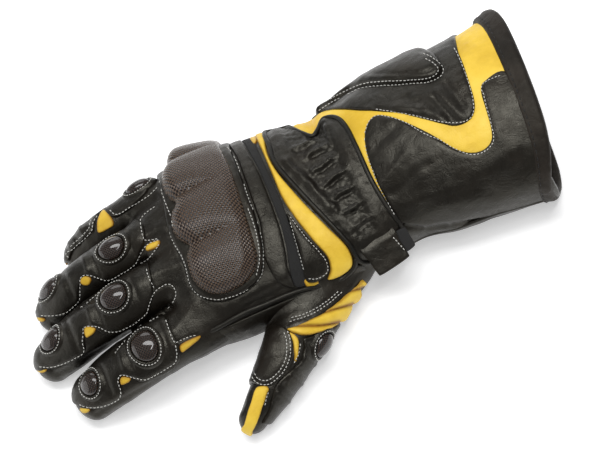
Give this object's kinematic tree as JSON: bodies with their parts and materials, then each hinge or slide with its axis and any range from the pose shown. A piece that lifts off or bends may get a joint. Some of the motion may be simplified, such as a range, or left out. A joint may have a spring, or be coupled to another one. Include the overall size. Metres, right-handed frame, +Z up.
{
  "type": "motorcycle glove",
  "caption": "Right-hand gauntlet motorcycle glove in black and yellow leather, with a lobed knuckle guard, finger sliders, a gathered wrist and a flared cuff.",
  "frame": {"origin": "middle of the bounding box, on the surface that the glove lies on", "axes": "+X along the hand towards the cuff, with the fingertips at -X; -Y towards the thumb; +Z up out of the back of the hand"},
  "size_m": [0.347, 0.1795, 0.0711],
  "materials": {
    "black_leather": "satin",
    "yellow_leather": "satin",
    "guard_plastic": "gloss",
    "stretch_fabric": "matte"
  },
  "bodies": {
    "root": {"hand_back": "black_leather", "palm": "black_leather", "gauntlet_palm": "black_leather", "cuff_binding": "black_leather", "gauntlet_lower_panel": "black_leather", "gauntlet_upper_panel": "black_leather", "gauntlet_roll": "black_leather", "shirred_panel": "black_leather", "shirred_piping": "black_leather", "back_band": "black_leather", "triangle_patch": "black_leather", "guard_surround": "black_leather", "side_band": "black_leather", "side_welt": "black_leather", "wrist_strap": "black_leather", "thumb_sleeve": "black_leather", "thumb_patch": "black_leather", "thumb_back_panel": "black_leather", "index_sleeve": "black_leather", "middle_sleeve": "black_leather", "ring_sleeve": "black_leather", "little_sleeve": "black_leather", "index_panel": "black_leather", "middle_panel": "black_leather", "ring_panel": "black_leather", "little_panel": "black_leather", "gauntlet_back": "yellow_leather", "wrist_strip": "yellow_leather", "thumb_ribs": "yellow_leather", "thumb_strip_short": "yellow_leather", "thumb_strip_long": "yellow_leather", "knuckle_guard": "guard_plastic", "thumb_slider": "guard_plastic", "index_slider_1": "guard_plastic", "index_slider_2": "guard_plastic", "middle_slider_1": "guard_plastic", "middle_slider_2": "guard_plastic", "ring_slider_1": "guard_plastic", "ring_slider_2": "guard_plastic", "little_slider_1": "guard_plastic", "stretch_band": "stretch_fabric"}
  },
  "joints": []
}
